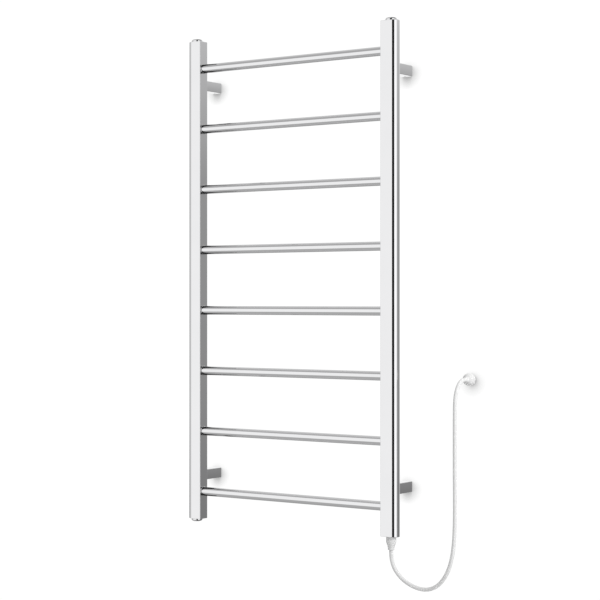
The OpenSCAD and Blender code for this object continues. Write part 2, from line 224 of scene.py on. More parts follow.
def smooth_line(points, steps):
    """Smooth curve along the points, straight at both ends, with that many steps a stretch."""
    p = [2 * points[0] - points[1], *points, 2 * points[-1] - points[-2]]
    line = []
    for a, b, c, d in zip(p, p[1:], p[2:], p[3:]):
        for k in range(steps):
            t = k / steps
            line.append(
                (
                    a * (1 - t) ** 3
                    + b * (3 * t**3 - 6 * t**2 + 4)
                    + c * (3 * t + 3 * t**2 - 3 * t**3 + 1)
                    + d * t**3
                )
                / 6
            )
    return line + [points[-1]]


def arc(centre, radius, start, end, steps):
    """Points of an arc in a flat outline, with its ends given in degrees."""
    angles = [math.radians(start + (end - start) * k / steps) for k in range(steps + 1)]
    return [centre + radius * Vector((math.cos(a), math.sin(a))) for a in angles]


def quarter(steps, turn=90):
    """Angles from 0 to a quarter turn, or to another turn in degrees."""
    return [math.radians(turn) * k / steps for k in range(steps + 1)]


def round_turn(steps):
    """Angles of a full turn, without its end."""
    return [2 * math.pi * k / steps for k in range(steps)]


def d_outline(radius, flat, corner, inset):
    """Section of a post: half round towards +X, flat behind, centred on its round side."""
    near = 0.4 * MM  # extra points beside each curve keep the flats truly flat
    r, back = radius - inset, inset - flat
    turn = Vector((corner - flat, radius - corner))
    mirrored = Vector((turn.x, -turn.y))
    return [
        *arc(Vector((0, 0)), r, -90, 90, 64),
        Vector((-near, r)),
        Vector((turn.x + near, r)),
        *arc(turn, corner - inset, 90, 180, 8),
        Vector((back, turn.y - near)),
        Vector((back, near - turn.y)),
        *arc(mirrored, corner - inset, 180, 270, 8),
        Vector((turn.x + near, -r)),
        Vector((-near, -r)),
    ]


def box_outline(width, height, corner, inset, crown):
    """Section of an arm: a rectangle with rounded corners and slightly crowned sides."""
    near = 0.3 * MM
    r = max(corner - inset, 0.1 * MM)
    x, y = width / 2 - inset - r, height / 2 - inset - r
    outline = []
    for turn, cx, cy in ((0, x, y), (90, -x, y), (180, -x, -y), (270, x, -y)):
        curve = arc(Vector((cx, cy)), r, turn, turn + 90, 6)
        a = math.radians(turn)
        before, after = Vector((math.sin(a), -math.cos(a))), Vector((-math.cos(a), -math.sin(a)))
        outline += [curve[0] + near * before, *curve, curve[-1] + near * after]
        away = Vector((-math.sin(a), math.cos(a)))
        length = 2 * (x if turn in (0, 180) else y) - 2 * near
        for k in range(1, 8):
            t = k / 8
            bulge = 4 * crown * t * (1 - t)
            outline.append(curve[-1] + (near + t * length) * after + bulge * away)
    return outline


def turned(profile, steps=96):
    """Rings of a turned shape about Z, from its profile of (radius, height)."""
    turns = round_turn(steps)
    return [[Vector((r * math.cos(a), r * math.sin(a), h)) for a in turns] for r, h in profile]


def skin(bm, rings, place=None):
    """Joins a row of closed rings with quads, closes both ends, and puts it all at a place."""
    place = place or Matrix.Identity(4)
    rows = [[bm.verts.new(place @ p) for p in ring] for ring in rings]
    for low, high in zip(rows, rows[1:]):
        for i, corner in enumerate(low):
            j = (i + 1) % len(low)
            bm.faces.new((corner, low[j], high[j], high[i]))
    bm.faces.new(rows[0][::-1])
    bm.faces.new(rows[-1])


def facing(axis, origin):
    """Matrix that puts a shape made along +Z along another axis, at a place."""
    return Matrix.Translation(origin) @ Vector(axis).to_track_quat("Z", "Y").to_matrix().to_4x4()


def finish_piece(name, bm, finish, crease=35):
    """Turns built faces into an object with smooth shading and creases at its sharp edges."""
    bmesh.ops.recalc_face_normals(bm, faces=bm.faces)
    mesh = bpy.data.meshes.new(name)
    bm.to_mesh(mesh)
    bm.free()
    mesh.shade_smooth()
    mesh.set_sharp_from_angle(angle=math.radians(crease))
    mesh.materials.append(finish)
    piece = bpy.data.objects.new(name, mesh)
    bpy.context.scene.collection.objects.link(piece)
    return piece


def fit_piece(piece, body, slot, *nodes):
    """Makes a piece move with its body and stand for its nodes, which it hides; the slot is not
    used.
    """
    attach(piece, body)
    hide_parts(*nodes)


# ---- Materials ----

NOISE_REACH = (0.3, 0.7)  # nearly all of a noise pattern lies between these


def new_finish(name, colour, metallic, roughness):
    """A material, its node tree and its shader, with the shader's steady values set."""
    finish = bpy.data.materials.new(name)
    finish.use_nodes = True
    finish.diffuse_color = (*colour, 1)
    shader = finish.node_tree.nodes["Principled BSDF"]
    shader.inputs["Base Color"].default_value = (*colour, 1)
    shader.inputs["Metallic"].default_value = metallic
    shader.inputs["Roughness"].default_value = roughness
    return finish, finish.node_tree, shader


def grain(tree, scale, stretch=(1, 1, 1), detail=2.0):
    """Noise in the piece's own space, in cells per metre, drawn out along an axis by stretch."""
    place = tree.nodes.new("ShaderNodeTexCoord")
    spread = tree.nodes.new("ShaderNodeMapping")
    spread.inputs["Scale"].default_value = stretch
    noise = tree.nodes.new("ShaderNodeTexNoise")
    noise.inputs["Scale"].default_value = scale
    noise.inputs["Detail"].default_value = detail
    tree.links.new(place.outputs["Object"], spread.inputs["Vector"])
    tree.links.new(spread.outputs["Vector"], noise.inputs["Vector"])
    return noise.outputs["Fac"]


def vary(tree, factor, socket, low, high, reach=NOISE_REACH):
    """Drives a socket from a pattern's reach, between two values."""
    spread = tree.nodes.new("ShaderNodeMapRange")
    spread.inputs["From Min"].default_value = reach[0]
    spread.inputs["From Max"].default_value = reach[1]
    spread.inputs["To Min"].default_value = low
    spread.inputs["To Max"].default_value = high
    tree.links.new(factor, spread.inputs["Value"])
    tree.links.new(spread.outputs["Result"], socket)


def tint(tree, factor, socket, dark, light):
    """Drives a shader's colour from a pattern, between two colours."""
    ramp = tree.nodes.new("ShaderNodeValToRGB")
    for element, place, colour in zip(ramp.color_ramp.elements, NOISE_REACH, (dark, light)):
        element.position = place
        element.color = (*colour, 1)
    tree.links.new(factor, ramp.inputs["Fac"])
    tree.links.new(ramp.outputs["Color"], socket)


def relief(tree, shader, *layers):
    """Adds bumps from patterns, each given as (pattern, depth in metres)."""
    below = None
    for factor, depth in layers:
        bump = tree.nodes.new("ShaderNodeBump")
        bump.inputs["Distance"].default_value = depth
        tree.links.new(factor, bump.inputs["Height"])
        if below:
            tree.links.new(below, bump.inputs["Normal"])
        below = bump.outputs["Normal"]
    tree.links.new(below, shader.inputs["Normal"])


def shade(colour, share):
    """The colour made darker or lighter by a share."""
    return tuple(min(1.0, c * share) for c in colour)


def chrome_plate(name, colour, polish, lay):
    """Polished chrome: a faint orange peel, and hair-fine polishing lines that run along lay."""
    finish, tree, shader = new_finish(name, colour, 1.0, polish)
    cloud = grain(tree, 14)
    lines = grain(tree, 900, lay, 3)
    tint(tree, cloud, shader.inputs["Base Color"], shade(colour, 0.985), colour)
    vary(tree, lines, shader.inputs["Roughness"], polish, polish + 0.014)
    relief(tree, shader, (grain(tree, 60), 0.004 * MM), (lines, 0.0006 * MM))
    return finish


def plated_metal(name, colour, roughness, scale, depth):
    """Plain plated or cast metal: mottled, slightly rough, with a fine relief."""
    finish, tree, shader = new_finish(name, colour, 1.0, roughness)
    mottle = grain(tree, scale, detail=4)
    fine = grain(tree, scale * 8)
    tint(tree, mottle, shader.inputs["Base Color"], shade(colour, 0.86), shade(colour, 1.05))
    vary(tree, mottle, shader.inputs["Roughness"], roughness, roughness + 0.15)
    relief(tree, shader, (mottle, depth), (fine, depth / 3))
    return finish


def moulded_plastic(name, colour, roughness):
    """Moulded plastic: a fine spark-eroded grain under a slow sheen."""
    finish, tree, shader = new_finish(name, colour, 0.0, roughness)
    cloud = grain(tree, 90)
    fine = grain(tree, 2600, detail=3)
    tint(tree, cloud, shader.inputs["Base Color"], shade(colour, 0.97), shade(colour, 1.01))
    vary(tree, cloud, shader.inputs["Roughness"], roughness, roughness + 0.1)
    relief(tree, shader, (fine, 0.004 * MM))
    shader.inputs["Subsurface Weight"].default_value = 0.08
    shader.inputs["Subsurface Radius"].default_value = 3 * [1.6 * MM]
    return finish


def soft_jacket(name, colour, roughness):
    """Vinyl or silicone jacket: drawn smooth, with faint ripples from the extruder."""
    finish, tree, shader = new_finish(name, colour, 0.0, roughness)
    ripple = grain(tree, 220)
    fine = grain(tree, 1800, detail=3)
    tint(tree, ripple, shader.inputs["Base Color"], shade(colour, 0.96), shade(colour, 1.01))
    vary(tree, fine, shader.inputs["Roughness"], roughness, roughness + 0.12)
    relief(tree, shader, (ripple, 0.012 * MM), (fine, 0.002 * MM))
    return finish


def braided_sleeve(name, colour):
    """Woven glass-fibre sleeve: two crossed sets of fine threads."""
    finish, tree, shader = new_finish(name, colour, 0.0, 0.75)
    place = tree.nodes.new("ShaderNodeTexCoord")
    layers = []
    for turn in (45, -45):
        lean = tree.nodes.new("ShaderNodeMapping")
        lean.inputs["Rotation"].default_value = (math.radians(turn), 0, 0)
        thread = tree.nodes.new("ShaderNodeTexWave")
        thread.bands_direction = "Z"
        thread.inputs["Scale"].default_value = 600
        tree.links.new(place.outputs["Object"], lean.inputs["Vector"])
        tree.links.new(lean.outputs["Vector"], thread.inputs["Vector"])
        layers.append((thread.outputs["Fac"], 0.08 * MM))
    tint(tree, layers[0][0], shader.inputs["Base Color"], shade(colour, 0.85), colour)
    relief(tree, shader, *layers)
    return finish


def finish_for(slot):
    """The material of one of the record's slots, made the first time it is asked for."""
    name = slot + "_finish"
    made = bpy.data.materials.get(name)
    if made:
        return made
    look = bpy.context.scene.towel_rack_finishes
    chrome, polish = tuple(look.chrome), look.polish
    makers = {
        "chrome_post": lambda: chrome_plate(name, chrome, polish, (1, 1, 0.03)),
        "chrome_rung": lambda: chrome_plate(name, chrome, polish, (0.03, 1, 1)),
        "chrome_cap": lambda: chrome_plate(name, chrome, polish, (1, 1, 1)),
        "chrome_arm": lambda: chrome_plate(name, chrome, polish, (1, 0.05, 1)),
        "zinc": lambda: plated_metal(name, (0.60, 0.61, 0.63), 0.38, 260, 0.03 * MM),
        "steel": lambda: plated_metal(name, (0.66, 0.67, 0.69), 0.24, 420, 0.008 * MM),
        "brass": lambda: plated_metal(name, (0.80, 0.66, 0.36), 0.20, 500, 0.006 * MM),
        "copper": lambda: plated_metal(name, (0.72, 0.50, 0.36), 0.30, 500, 0.01 * MM),
        "cable_silicone": lambda: soft_jacket(name, (0.42, 0.42, 0.43), 0.55),
        "sleeve_white": lambda: braided_sleeve(name, (0.88, 0.87, 0.84)),
        "wire_black": lambda: soft_jacket(name, (0.05, 0.05, 0.05), 0.4),
        "wire_white": lambda: soft_jacket(name, (0.85, 0.85, 0.83), 0.4),
        "wire_green": lambda: soft_jacket(name, (0.05, 0.30, 0.09), 0.4),
        "white_plastic": lambda: moulded_plastic(name, tuple(look.white_plastic), 0.46),
        "plug_white": lambda: moulded_plastic(name, tuple(look.white_plastic), 0.44),
        "cord_white": lambda: soft_jacket(name, tuple(look.cord_jacket), 0.46),
    }
    return makers[slot]()


# ---- Camera ----


class TOWELRACK_OT_camera(bpy.types.Operator):
    """Sets up the camera to the right of the rack, about level with its middle"""

    bl_idname = "towel_rack.camera"
    bl_label = "Camera"

    def execute(self, context):
        studio = context.scene.towel_rack_studio
        data = bpy.data.cameras.new("rack_camera")
        data.sensor_width = 36
        data.lens = studio.lens
        camera = bpy.data.objects.new("rack_camera", data)
        camera.location = studio.camera_place
        camera.rotation_euler = (math.radians(90), 0, studio.camera_turn)
        context.scene.collection.objects.link(camera)
        context.scene.camera = camera
        return {"FINISHED"}


# ---- Plug, mains lead and boot ----


class TOWELRACK_OT_plug(bpy.types.Operator):
    """Makes the plug's round shell and its earth pin"""

    bl_idname = "towel_rack.plug"
    bl_label = "Plug"

    def execute(self, context):
        low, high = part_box("plug_body")
        radius, depth = (high.x - low.x) / 2, high.y - low.y
        neck = JACKET_RADIUS + 0.6 * MM
        outline = [
            (radius - 0.8 * MM, 0),
            (radius - 0.1 * MM, 0.3 * MM),
            (radius, 2 * MM),
            (radius, 5 * MM),
            (radius, 9 * MM),
            (radius - 0.6 * MM, 12.5 * MM),
            (radius - 3.0 * MM, 16.0 * MM),
            (radius - 6.6 * MM, 18.2 * MM),
            (neck + 0.9 * MM, 20.0 * MM),
            (neck + 0.2 * MM, 23.0 * MM),
            (neck, depth - 1 * MM),
            (neck - 0.5 * MM, depth),
        ]
        profile = smooth_line([Vector(p) for p in outline], 6)
        at = middle("plug_body")
        bm = bmesh.new()
        skin(bm, turned(profile), facing((0, -1, 0), (at.x, high.y, at.z)))
        shell = finish_piece("plug_shell", bm, finish_for("plug_white"))
        fit_piece(shell, "wall_mount", "plug_white", "plug_body", "plug_core")

        low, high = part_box("ground_pin")
        pin, length = (high.x - low.x) / 2, high.y - low.y
        nose = [(pin * math.cos(a), length - pin + pin * math.sin(a)) for a in quarter(10, 89.5)]
        profile = [(pin, 0), (pin, length / 2), *nose]
        at = middle("ground_pin")
        bm = bmesh.new()
        skin(bm, turned(profile, 48), facing((0, 1, 0), (at.x, low.y, at.z)))
        earth = finish_piece("earth_pin", bm, finish_for("brass"))
        fit_piece(earth, "wall_mount", "brass", "ground_pin")
        return {"FINISHED"}


def lead_route():
    """Points that the lead follows: down out of its boot, round a loop and up to the plug."""
    boot_low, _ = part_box("cord_boot")
    plug_low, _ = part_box("plug_body")
    x, y, z = POST_MIDDLE_X, AXIS_Y, boot_low.z
    plug = middle("plug_body")
    tip = Vector((plug.x, plug_low.y, plug.z))
    loop = [
        (0.282, y, -0.641),
        (0.289, y, -0.656),
        (0.300, y, -0.669),
        (0.314, y, -0.680),
        (0.332, y, -0.6885),
        (0.352, y, -0.694),
        (0.372, y, -0.6945),
        (0.391, y, -0.689),
        (0.407, y, -0.6775),
        (0.420, y, -0.661),
        (0.430, y, -0.642),
        (0.437, y, -0.619),
        (0.4415, y, -0.592),
    ]
    rise = [
        (0.444, -0.075, -0.562),
        (0.445, -0.075, -0.525),
        (0.445, -0.075, -0.480),
        (0.445, -0.076, -0.435),
        (0.445, -0.076, -0.390),
        (0.445, -0.076, -0.350),
        (0.445, -0.076, -0.320),
        (0.445, -0.0755, -0.298),
        (0.445, -0.0755, -0.283),
        (0.445, -0.074, -0.268),
        (0.445, -0.0705, -0.254),
        (0.445, -0.064, -0.242),
        (0.445, -0.055, -0.2325),
        (0.445, -0.045, -0.2275),
    ]
    return [
        Vector((x, y, z)),
        Vector((x, y, z - 6 * MM)),
        Vector((x, y, z - 13 * MM)),
        *map(Vector, loop),
        *map(Vector, rise),
        tip - Vector((0, 6 * MM, 0)),
        tip,
    ]


def tube_rings(line, radius, steps):
    """Rings of a round tube along a line, carried along it without twist."""
    rings, side = [], Vector((0, 1, 0))
    for i, point in enumerate(line):
        along = (line[min(i + 1, len(line) - 1)] - line[max(i - 1, 0)]).normalized()
        side = (side - along * side.dot(along)).normalized()
        up = along.cross(side)
        rings.append(
            [point + radius * (side * math.cos(a) + up * math.sin(a)) for a in round_turn(steps)]
        )
    return rings


class TOWELRACK_OT_lead(bpy.types.Operator):
    """Makes the white mains lead, which runs between the rack and its plug"""

    bl_idname = "towel_rack.lead"
    bl_label = "Mains Lead"

    def execute(self, context):
        line = smooth_line(lead_route(), 6)
        bm = bmesh.new()
        skin(bm, tube_rings(line, JACKET_RADIUS, 32))
        lead = finish_piece("mains_lead", bm, finish_for("cord_white"))
        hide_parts("mains_cord")
        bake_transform(lead)
        return {"FINISHED"}


class TOWELRACK_OT_boot(bpy.types.Operator):
    """Makes the gland's collar and the tapered boot that the lead hangs from"""

    bl_idname = "towel_rack.boot"
    bl_label = "Gland and Boot"

    def execute(self, context):
        under_post = facing((0, 0, -1), (POST_MIDDLE_X, AXIS_Y, -POST_END_Z))
        low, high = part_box("cord_boot")
        radius = (high.x - low.x) / 2
        collar, length = -POST_END_Z - high.z, high.z - low.z
        stem, stem_length = 9.8 * MM, 12 * MM
        gland = [
            (stem, -stem_length),
            (stem, 0),
            (radius - 0.4 * MM, 0),
            (radius, 0.4 * MM),
            (radius, collar - 0.5 * MM),
            (radius - 0.15 * MM, collar - 0.15 * MM),
            (radius - 0.5 * MM, collar),
        ]
        bm = bmesh.new()
        skin(bm, turned(gland), under_post)
        piece = finish_piece("gland_collar", bm, finish_for("white_plastic"))
        fit_piece(piece, "rack", "white_plastic", "gland_body")

        tip = 7.5 * MM
        outline = [
            (radius - 0.5 * MM, 0),
            (radius - 0.15 * MM, 0.1 * MM),
            (radius, 0.6 * MM),
            (radius, 3 * MM),
            (radius, 6 * MM),
            (radius - 0.5 * MM, 9 * MM),
            (radius - 1.9 * MM, 13 * MM),
            (tip + 0.9 * MM, 17 * MM),
            (tip + 0.1 * MM, 19.5 * MM),
            (tip, 21 * MM),
            (tip, length - 2 * MM),
            (tip, length - 0.8 * MM),
            (tip - 0.5 * MM, length - 0.1 * MM),
            (JACKET_RADIUS + 1.2 * MM, length),
            (JACKET_RADIUS + 0.5 * MM, length - 0.2 * MM),
            (JACKET_RADIUS + 0.1 * MM, length - 1.5 * MM),
        ]
        profile = smooth_line([Vector((r, collar + h)) for r, h in outline], 5)
        bm = bmesh.new()
        skin(bm, turned(profile), under_post)
        piece = finish_piece("cord_boot_shell", bm, finish_for("white_plastic"))
        fit_piece(piece, "rack", "white_plastic", "cord_boot")
        return {"FINISHED"}


# ---- Posts, rungs and caps ----


class TOWELRACK_OT_posts(bpy.types.Operator):
    """Makes the two polished D-section posts, closed at both ends"""

    bl_idname = "towel_rack.posts"
    bl_label = "Posts"

    def execute(self, context):
        shapes = context.scene.towel_rack_shapes
        edge, near = shapes.post_edge, 0.5 * MM
        flat = post_high.x - post_low.x - POST_RADIUS
        ends = [
            (edge * (1 - math.sin(a)), POST_END_Z - edge * (1 - math.cos(a))) for a in quarter(6)
        ]
        ends.append((0, POST_END_Z - edge - near))
        levels = [(inset, -z) for inset, z in ends] + ends[::-1]
        for side, name in ((-1, "left"), (1, "right")):
            rings = []
            for inset, z in levels:
                section = d_outline(POST_RADIUS, flat, shapes.post_corner, inset)
                rings.append([Vector((p.x, p.y, z)) for p in section])
            turn = Matrix.Rotation(math.pi if side < 0 else 0, 4, "Z")
            place = Matrix.Translation((side * (post_high.x - POST_RADIUS), AXIS_Y, 0)) @ turn
            bm = bmesh.new()
            skin(bm, rings, place)
            post = finish_piece(f"{name}_post_shell", bm, finish_for("chrome_post"))
            plates = (f"{name}_post", f"top_plate_{name}", f"bottom_plate_{name}")
            fit_piece(post, "rack", "chrome_post", *plates)
        return {"FINISHED"}


class TOWELRACK_OT_rungs(bpy.types.Operator):
    """Makes the eight round rungs, with a polished weld bead at each end"""

    bl_idname = "towel_rack.rungs"
    bl_label = "Rungs"

    def execute(self, context):
        bead = context.scene.towel_rack_shapes.weld_bead
        for name in RUNGS:
            radius = extent(name).z / 2
            sink, near = 0.5 * MM, 0.5 * MM
            half = post_low.x
            foot = [(radius + bead, half + sink), (radius + bead, half)]
            foot += [
                (radius + bead * (1 - math.sin(a)), half - bead * (1 - math.cos(a)))
                for a in quarter(6)[1:]
            ]
            foot.append((radius, half - bead - near))
            profile = [(r, -h) for r, h in foot] + foot[::-1]
            bm = bmesh.new()
            skin(bm, turned(profile), facing((1, 0, 0), middle(name)))
            rung = finish_piece(name + "_tube", bm, finish_for("chrome_rung"))
            fit_piece(rung, "rack", "chrome_rung", name)
        return {"FINISHED"}


class TOWELRACK_OT_caps(bpy.types.Operator):
    """Makes the three turned caps: two on the posts' tops and one under the left post"""

    bl_idname = "towel_rack.caps"
    bl_label = "Caps"

    def execute(self, context):
        for name, up in (("top_cap_left", 1), ("top_cap_right", 1), ("bottom_cap_left", -1)):
            low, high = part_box(name)
            radius = (high.x - low.x) / 2
            height = max(high.z, -low.z) - POST_END_Z
            outline = [
                (radius - 0.3 * MM, -1 * MM),
                (radius - 0.3 * MM, 0),
                (radius, 0.3 * MM),
                (radius, 2.5 * MM),
                (radius, 3.2 * MM),
                (radius - 0.5 * MM, 4.6 * MM),
                (radius - 2.0 * MM, 5.8 * MM),
                (radius - 4.2 * MM, 6.7 * MM),
                (radius / 2, 7.3 * MM),
                (radius / 4, height),
                (0.3 * MM, height),
                (0.02 * MM, height),
            ]
            profile = smooth_line([Vector(p) for p in outline], 6)
            place = facing((0, 0, up), (middle(name).x, AXIS_Y, up * POST_END_Z))
            bm = bmesh.new()
            skin(bm, turned(profile), place)
            cap = finish_piece(name + "_turned", bm, finish_for("chrome_cap"), crease=50)
            fit_piece(cap, "rack", "chrome_cap", name)
        return {"FINISHED"}


# ---- Arms, wall bases and screws ----


def bore(piece, place, radius, length):
    """Cuts a round hole through a piece, along the place's Z."""
    bm = bmesh.new()
    skin(bm, turned([(radius, -length / 2), (radius, length / 2)], 48), place)
    cutter = finish_piece("cutter", bm, piece.data.materials[0])
    cut = piece.modifiers.new("hole", "BOOLEAN")
    cut.object = cutter
    cut.solver = "EXACT"
    graph = bpy.context.evaluated_depsgraph_get()
    drilled = bpy.data.meshes.new_from_object(piece.evaluated_get(graph))
    piece.modifiers.clear()
    piece.data = drilled
    drilled.set_sharp_from_angle(angle=math.radians(35))
    bpy.data.objects.remove(cutter)


class TOWELRACK_OT_arms(bpy.types.Operator):
    """Makes the four box-section arms, open towards the wall and drilled for a lock screw"""

    bl_idname = "towel_rack.arms"
    bl_label = "Arms"

    def execute(self, context):
        shapes = context.scene.towel_rack_shapes
        corner = shapes.arm_edge
        wall, floor, rim, sink = 1.6 * MM, 4 * MM, 0.3 * MM, 2 * MM
        for name in CORNERS:
            low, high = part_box("arm_" + name)
            width, height = high.x - low.x, high.z - low.z
            centre = (low + high) / 2
            rings = []
            for inset, y in (
                (0, POST_BACK_Y - sink),
                (0, high.y - rim - 0.5 * MM),
                (0, high.y - rim),
                (rim * 0.3, high.y - rim * 0.3),
                (rim, high.y),
                (wall - rim, high.y),
                (wall - rim * 0.3, high.y - rim * 0.3),
                (wall, high.y - rim),
                (wall, POST_BACK_Y + floor),
            ):
                section = box_outline(width, height, corner, inset, shapes.arm_crown)
                rings.append([Vector((centre.x + p.x, y, centre.z + p.y)) for p in section])
            bm = bmesh.new()
            skin(bm, rings)
            arm = finish_piece(f"arm_{name}_tube", bm, finish_for("chrome_arm"))
            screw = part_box("lock_screw_" + name)
            hole = (screw[1].x - screw[0].x) / 2 + 0.1 * MM
            place = Matrix.Translation((centre.x, (screw[0].y + screw[1].y) / 2, low.z))
            bore(arm, place, hole, 4 * wall)
            fit_piece(arm, "rack", "chrome_arm", "arm_" + name)
        return {"FINISHED"}


def hexagon(apothem, steps):
    """Radius of a hexagon at each of a ring's points."""
    part = math.radians(60)
    return [apothem / math.cos((a + part / 2) % part - part / 2) for a in round_turn(steps)]


def screw_rings(head, shank, length, socket, pitch, tip):
    """Rings of a socket screw along +Z: its face at 0, then its head, thread and tip.

    head is the profile of (radius, height) from the face's rim to under the head, socket is
    (half width across flats, depth), and tip is the length of the taper at the far end.
    """
    steps = 48
    turns = round_turn(steps)
    hexed = hexagon(socket[0], steps)

    def ring(radii, z):
        return [Vector((r * math.cos(a), r * math.sin(a), z)) for r, a in zip(radii, turns)]

    rings = [ring(hexed, socket[1]), ring(hexed, 0)]
    rings += [ring([r] * steps, z) for r, z in head]
    start = head[-1][1]
    depth, root = 0.3 * pitch, 1.4  # of the thread; a root above 1 is flat
    rings.append(ring([shank - depth / 2] * steps, start))
    rise = pitch / 8  # eight rings a turn
    for k in range(1, int((length - start) / rise)):
        z = start + k * rise
        left = min(1.0, (length - z) / tip)
        radii = []
        for a in turns:
            wave = abs(2 * ((z / pitch - a / (2 * math.pi)) % 1.0) - 1)
            cut = depth * min(1.0, root * wave) * min(1.0, 2 * left)
            radii.append(shank * left - cut)
        rings.append(ring(radii, z))
    rings.append(ring([0.2 * MM] * steps, length))
    return rings


def add_screw(name, rings, places, body, node):
    """Makes a screw of steel, or a set of equal ones that is one piece, and fits it."""
    bm = bmesh.new()
    for place in places:
        skin(bm, rings, place)
    screw = finish_piece(name, bm, finish_for("steel"))
    fit_piece(screw, body, "steel", node)


class TOWELRACK_OT_screws(bpy.types.Operator):
    """Makes the lock screws, the wall screws and the earth screw"""

    bl_idname = "towel_rack.screws"
    bl_label = "Screws"

    def lock_screw(self, corner):
        """A set screw, its socket below and its point up against the base."""
        node = "lock_screw_" + corner
        low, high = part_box(node)
        radius, length = (high.x - low.x) / 2, high.z - low.z
        head = [(radius - 0.4 * MM, 0), (radius, 0.4 * MM), (radius, 0.8 * MM)]
        rings = screw_rings(head, radius, length, (1.25 * MM, 2 * MM), 0.8 * MM, 0.5 * MM)
        place = Matrix.Translation((middle(node).x, middle(node).y, low.z))
        add_screw(node + "_hex", rings, [place], "lock_" + corner, node)

    def wall_screws(self):
        """Four pan-head screws through the bases into the wall."""
        low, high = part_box("wall_screws")
        head = [
            (3.2 * MM, 0),
            (4.5 * MM, 0.7 * MM),
            (4.8 * MM, 1.9 * MM),
            (4.8 * MM, 3.2 * MM),
            (4.7 * MM, 3.4 * MM),
            (2.2 * MM, 3.4 * MM),
            (2.2 * MM, 8.4 * MM),
        ]
        socket = (1.6 * MM, 2 * MM)
        rings = screw_rings(head, 2.5 * MM, high.y - low.y, socket, 2.4 * MM, 8 * MM)
        bases = [middle("wall_base_" + corner) for corner in CORNERS]
        places = [facing((0, 1, 0), (at.x, low.y, at.z)) for at in bases]
        add_screw("wall_screws_threaded", rings, places, "wall_mount", "wall_screws")

    def earth_screw(self):
        """A button-head screw in the back of the right post."""
        low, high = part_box("ground_screw")
        at = middle("ground_screw")
        radius = (high.x - low.x) / 2
        head = [
            (radius - 1.2 * MM, 0),
            (radius - 0.3 * MM, 0.6 * MM),
            (radius, 1.4 * MM),
            (radius, 2.4 * MM),
        ]
        socket = (1.25 * MM, 1.4 * MM)
        rings = screw_rings(head, 2 * MM, high.y - low.y, socket, 0.7 * MM, 1 * MM)
        place = facing((0, -1, 0), (at.x, high.y, at.z))
        add_screw("ground_screw_hex", rings, [place], "rack", "ground_screw")

    def execute(self, context):
        for corner in CORNERS:
            self.lock_screw(corner)
        self.wall_screws()
        self.earth_screw()
        return {"FINISHED"}


def soften(part, width):
    """Rounds the sharp edges of a frame part."""
    weld = part.modifiers.new("joined faces", "WELD")
    weld.merge_threshold = 0.005 * MM
    bevel = part.modifiers.new("soft edges", "BEVEL")
    bevel.width = width
    bevel.segments = 3
    bevel.limit_method = "ANGLE"
    bevel.angle_limit = math.radians(50)
    bevel.harden_normals = True


class TOWELRACK_OT_frame_parts(bpy.types.Operator):
    """Finishes the parts that keep their frame shape: wall bases, blades and the inner parts"""

    bl_idname = "towel_rack.frame_parts"
    bl_label = "Frame Parts"

    def execute(self, context):
        edge = context.scene.towel_rack_shapes.base_edge
        slots = {part["node"]: part["material_slot"] for part in frame["record"]["subparts"]}
        for node, part in frame["nodes"].items():
            part.data.materials.clear()
            part.data.materials.append(finish_for(slots[node]))
            if node.startswith("wall_base"):
                soften(part, edge)
            elif node == "plug_blades":
                soften(part, edge / 2)
        return {"FINISHED"}


# ---- Studio ----

# Painted contact shadow on the wall and floor: these set how an occlusion test dims their glow.
SHADOW_REACH = 31 * MM
SHADOW_LEAN = (-0.12, -1.0, 0.65)  # the open side, out from the wall and up: shadows fall below
SHADOW_LEVEL = 0.40  # brightness in the deepest shadow
SHADOW_SPAN = (0.30, 0.98)  # shares of open room that give the deepest shadow and none


def paper_with_painted_shadow(name, level, seen):
    """Matt white paper, clear from behind.

    To the eye it glows evenly, at the brightness seen, with a soft painted shadow close beside
    and below whatever touches it, where an occlusion test dims the glow.
    """
    finish, tree, shader = new_finish(name, (level, level, level), 0.0, 0.9)
    shader.inputs["Specular IOR Level"].default_value = 0.0
    lean = tree.nodes.new("ShaderNodeCombineXYZ")
    for socket, value in zip(lean.inputs, SHADOW_LEAN):
        socket.default_value = value
    # Painted shadow: the glow is dimmed where this occlusion test finds something close.
    shadow = tree.nodes.new("ShaderNodeAmbientOcclusion")
    shadow.inputs["Distance"].default_value = SHADOW_REACH
    shadow.samples = 16
    tree.links.new(lean.outputs["Vector"], shadow.inputs["Normal"])
    glow = tree.nodes.new("ShaderNodeEmission")
    vary(tree, shadow.outputs["AO"], glow.inputs["Strength"], SHADOW_LEVEL, seen, SHADOW_SPAN)
    clear = tree.nodes.new("ShaderNodeBsdfTransparent")
    side = tree.nodes.new("ShaderNodeNewGeometry")
    ray = tree.nodes.new("ShaderNodeLightPath")
    eye = tree.nodes.new("ShaderNodeMixShader")
    choose = tree.nodes.new("ShaderNodeMixShader")
    output = tree.nodes["Material Output"]
    tree.links.new(ray.outputs["Is Camera Ray"], eye.inputs["Fac"])
    tree.links.new(shader.outputs["BSDF"], eye.inputs[1])
    tree.links.new(glow.outputs["Emission"], eye.inputs[2])
    tree.links.new(side.outputs["Backfacing"], choose.inputs["Fac"])
    tree.links.new(eye.outputs["Shader"], choose.inputs[1])
    tree.links.new(clear.outputs["BSDF"], choose.inputs[2])
    tree.links.new(choose.outputs["Shader"], output.inputs["Surface"])
    finish.cycles.emission_sampling = "NONE"
    return finish


def card_light(name, level):
    """Even light of one brightness, for a card that only the chrome mirrors."""
    finish = bpy.data.materials.new(name)
    finish.use_nodes = True
    tree = finish.node_tree
    tree.nodes.remove(tree.nodes["Principled BSDF"])
    light = tree.nodes.new("ShaderNodeEmission")
    light.inputs["Color"].default_value = (level, level, level, 1)
    tree.links.new(light.outputs["Emission"], tree.nodes["Material Output"].inputs["Surface"])
    finish.cycles.emission_sampling = "NONE"
    return finish


